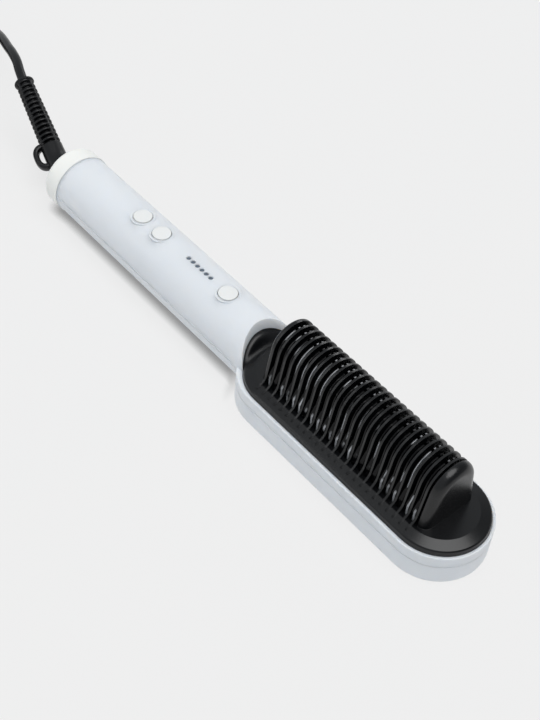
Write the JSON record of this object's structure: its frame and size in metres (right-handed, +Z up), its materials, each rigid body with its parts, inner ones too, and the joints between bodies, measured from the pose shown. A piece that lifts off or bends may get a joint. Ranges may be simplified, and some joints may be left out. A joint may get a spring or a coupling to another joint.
{
  "type": "hot comb",
  "caption": "Heated straightening comb: a round handle with press buttons, a ribbed guard over notched hot blades on a rounded head, and a swivelling mains lead.",
  "frame": {"origin": "centre of the comb's footprint on the surface its back lies on, measured without the lead", "axes": "+X along the handle to the tip of the head, +Z up with the comb side up, +Y across to complete a right-handed frame"},
  "size_m": [0.4799, 0.0815, 0.0475],
  "materials": {
    "shell_plastic": "fine satin texture, pale cool white",
    "cap_plastic": "satin, warm white",
    "button_plastic": "satin, warm white",
    "guard_plastic": "satin black",
    "blade_coating": "gloss black ceramic coating on aluminium",
    "heater_ceramic": "ceramic heating element in film",
    "mica": "mica sheet",
    "steel": "bright zinc",
    "sensor": "film-wrapped bead",
    "board": "green laminate",
    "switch_plastic": "black moulding",
    "led": "light emitting chip",
    "light_guide_plastic": "smoked clear moulding",
    "bearing_plastic": "slippery white moulding",
    "brass": "bright",
    "lead_rubber": "matt black",
    "plug_metal": "nickel"
  },
  "bodies": {
    "appliance": {"upper_shell": "shell_plastic", "lower_shell": "shell_plastic", "end_cap": "cap_plastic", "comb_guard": "guard_plastic", "heating_plate": "blade_coating", "ptc_heaters": "heater_ceramic", "mica_insulator": "mica", "heater_clamp": "steel", "thermal_fuse": "steel", "thermistor": "sensor", "circuit_board": "board", "tact_switches": "switch_plastic", "indicator_leds": "led", "light_guide": "light_guide_plastic", "board_screws": "steel", "shell_screws": "steel", "plate_screws": "steel", "swivel_housing": "bearing_plastic", "swivel_contacts": "brass"},
    "lead": {"swivel_core": "switch_plastic", "slip_rings": "brass", "strain_relief": "lead_rubber", "power_cord": "lead_rubber", "cord_coil": "lead_rubber", "coil_tie": "switch_plastic", "plug_body": "lead_rubber", "plug_pins": "plug_metal"},
    "minus_key": {"minus_button": "button_plastic"},
    "plus_key": {"plus_button": "button_plastic"},
    "power_key": {"power_button": "button_plastic"}
  },
  "joints": [
    {"name": "lead_swivel", "type": "hinge", "parent": "appliance", "child": "lead", "pos_m": [-0.133, 0, 0.0155], "axis": [1, 0, 0], "continuous": true},
    {"name": "minus_press", "type": "slide", "parent": "appliance", "child": "minus_key", "axis": [0, 0, -1], "range_m": [0, 0.0004], "stiffness_N_per_m": 1200, "springref_m": -0.0002},
    {"name": "plus_press", "type": "slide", "parent": "appliance", "child": "plus_key", "axis": [0, 0, -1], "range_m": [0, 0.0004], "stiffness_N_per_m": 1200, "springref_m": -0.0002},
    {"name": "power_press", "type": "slide", "parent": "appliance", "child": "power_key", "axis": [0, 0, -1], "range_m": [0, 0.0004], "stiffness_N_per_m": 1200, "springref_m": -0.0002}
  ]
}
